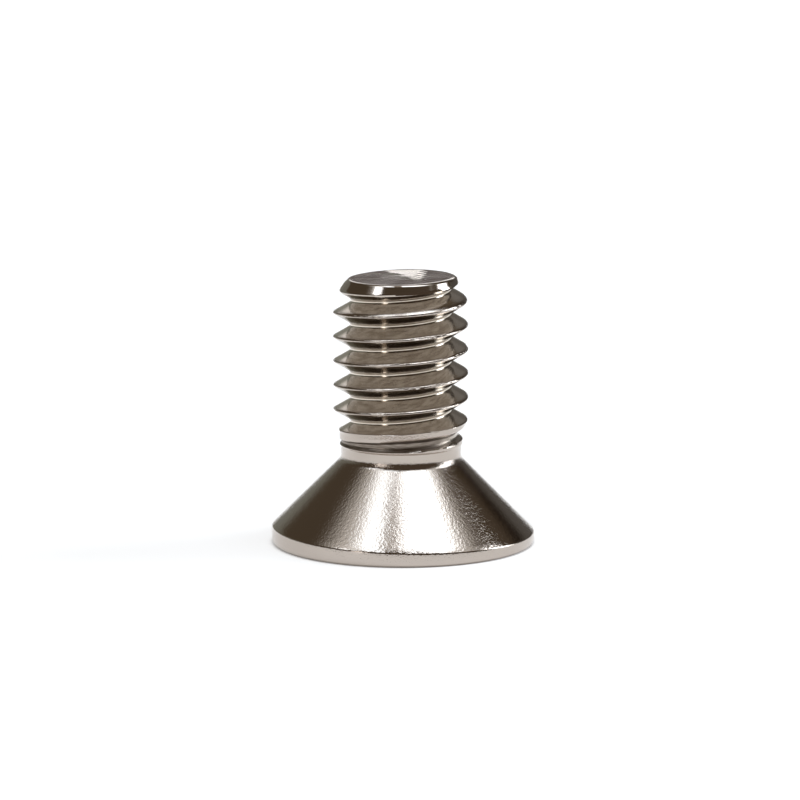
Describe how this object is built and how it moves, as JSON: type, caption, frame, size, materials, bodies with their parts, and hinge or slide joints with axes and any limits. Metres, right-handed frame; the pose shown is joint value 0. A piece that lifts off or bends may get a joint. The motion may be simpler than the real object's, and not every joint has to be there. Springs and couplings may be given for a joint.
{
  "type": "countersunk machine screw",
  "caption": "Countersunk machine screw in stainless steel with a ninety-degree conical head, a straight rim, a bare neck, a rolled right-hand thread and a cross recess.",
  "frame": {"origin": "centre of the head face, on the plane that the screw stands on", "axes": "+Z along the screw's axis from the head face to the tip; the wings of the cross recess lie along X and Y; -Y faces the picture's camera"},
  "size_m": [0.0076, 0.0076, 0.0077],
  "materials": {
    "stainless_steel": "cold-headed and thread-rolled stainless steel, lightly tumbled, with a faint mottled grain on the cone and duller thread flanks"
  },
  "bodies": {
    "root": {"countersunk_screw": "stainless_steel"}
  },
  "joints": []
}
